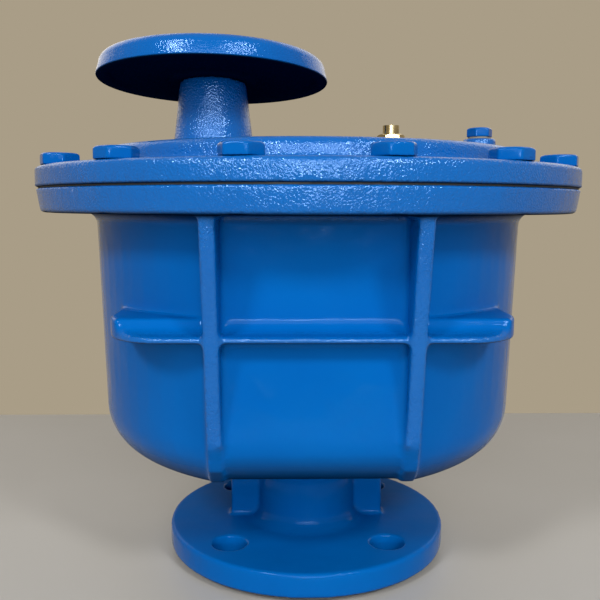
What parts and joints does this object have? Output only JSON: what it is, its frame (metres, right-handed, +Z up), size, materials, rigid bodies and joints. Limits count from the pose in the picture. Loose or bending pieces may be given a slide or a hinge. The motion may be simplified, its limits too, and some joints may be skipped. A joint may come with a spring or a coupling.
{
  "type": "air release valve",
  "caption": "Flanged cast air release valve: round ribbed bowl, bolted cover, hooded outlet column, brass bleed nozzle, float and lever inside.",
  "frame": {"origin": "centre of the inlet's raised face, where the valve stands on its pipe flange", "axes": "+Z up along the inlet, -Y the front with the bare panel, -X the side with the outlet column"},
  "size_m": [0.303, 0.303, 0.295],
  "materials": {
    "blue_epoxy_casting": "glossy blue epoxy powder coat over rough ductile iron",
    "blue_epoxy_steel": "glossy blue epoxy over zinc-plated steel",
    "stainless": "turned or polished stainless steel",
    "brass": "turned brass",
    "bronze": "turned bronze",
    "gasket_rubber": "moulded black rubber",
    "fibre": "pressed fibre"
  },
  "bodies": {
    "valve_body": {"body": "blue_epoxy_casting", "cover_gasket": "gasket_rubber", "cover": "blue_epoxy_casting", "cover_bolts": "blue_epoxy_steel", "hood": "blue_epoxy_casting", "hood_washer": "stainless", "hood_bolt": "stainless", "outlet_seat": "bronze", "seat_gasket": "fibre", "lever_pin": "stainless", "lever_pin_clips": "stainless", "lever_bracket": "stainless", "bracket_seal": "fibre", "bracket_bolt": "blue_epoxy_steel", "bracket_screw": "stainless", "bleed_nozzle": "brass", "nozzle_washer": "bronze"},
    "float_arm": {"lever": "stainless", "plug_pin": "stainless", "plug_pin_clips": "stainless", "float_ball": "stainless", "float_stem": "stainless", "float_nuts": "stainless", "button_screw": "stainless", "button_locknut": "stainless", "orifice_button": "gasket_rubber"},
    "plug": {"plug_disc": "stainless", "plug_seal": "gasket_rubber", "seal_screw": "stainless"}
  },
  "joints": [
    {"name": "float_swing", "type": "hinge", "parent": "valve_body", "child": "float_arm", "pos_m": [0.082, 0, 0.1992], "axis": [0, 1, 0], "range_deg": [0, 9]},
    {"name": "plug_swivel", "type": "hinge", "parent": "float_arm", "child": "plug", "pos_m": [-0.05292, 0, 0.17783], "axis": [0, 1, 0], "range_deg": [-9, 0]}
  ],
  "couplings": [
    {"joint": "plug_swivel", "follows": "float_swing", "ratio": -1}
  ]
}
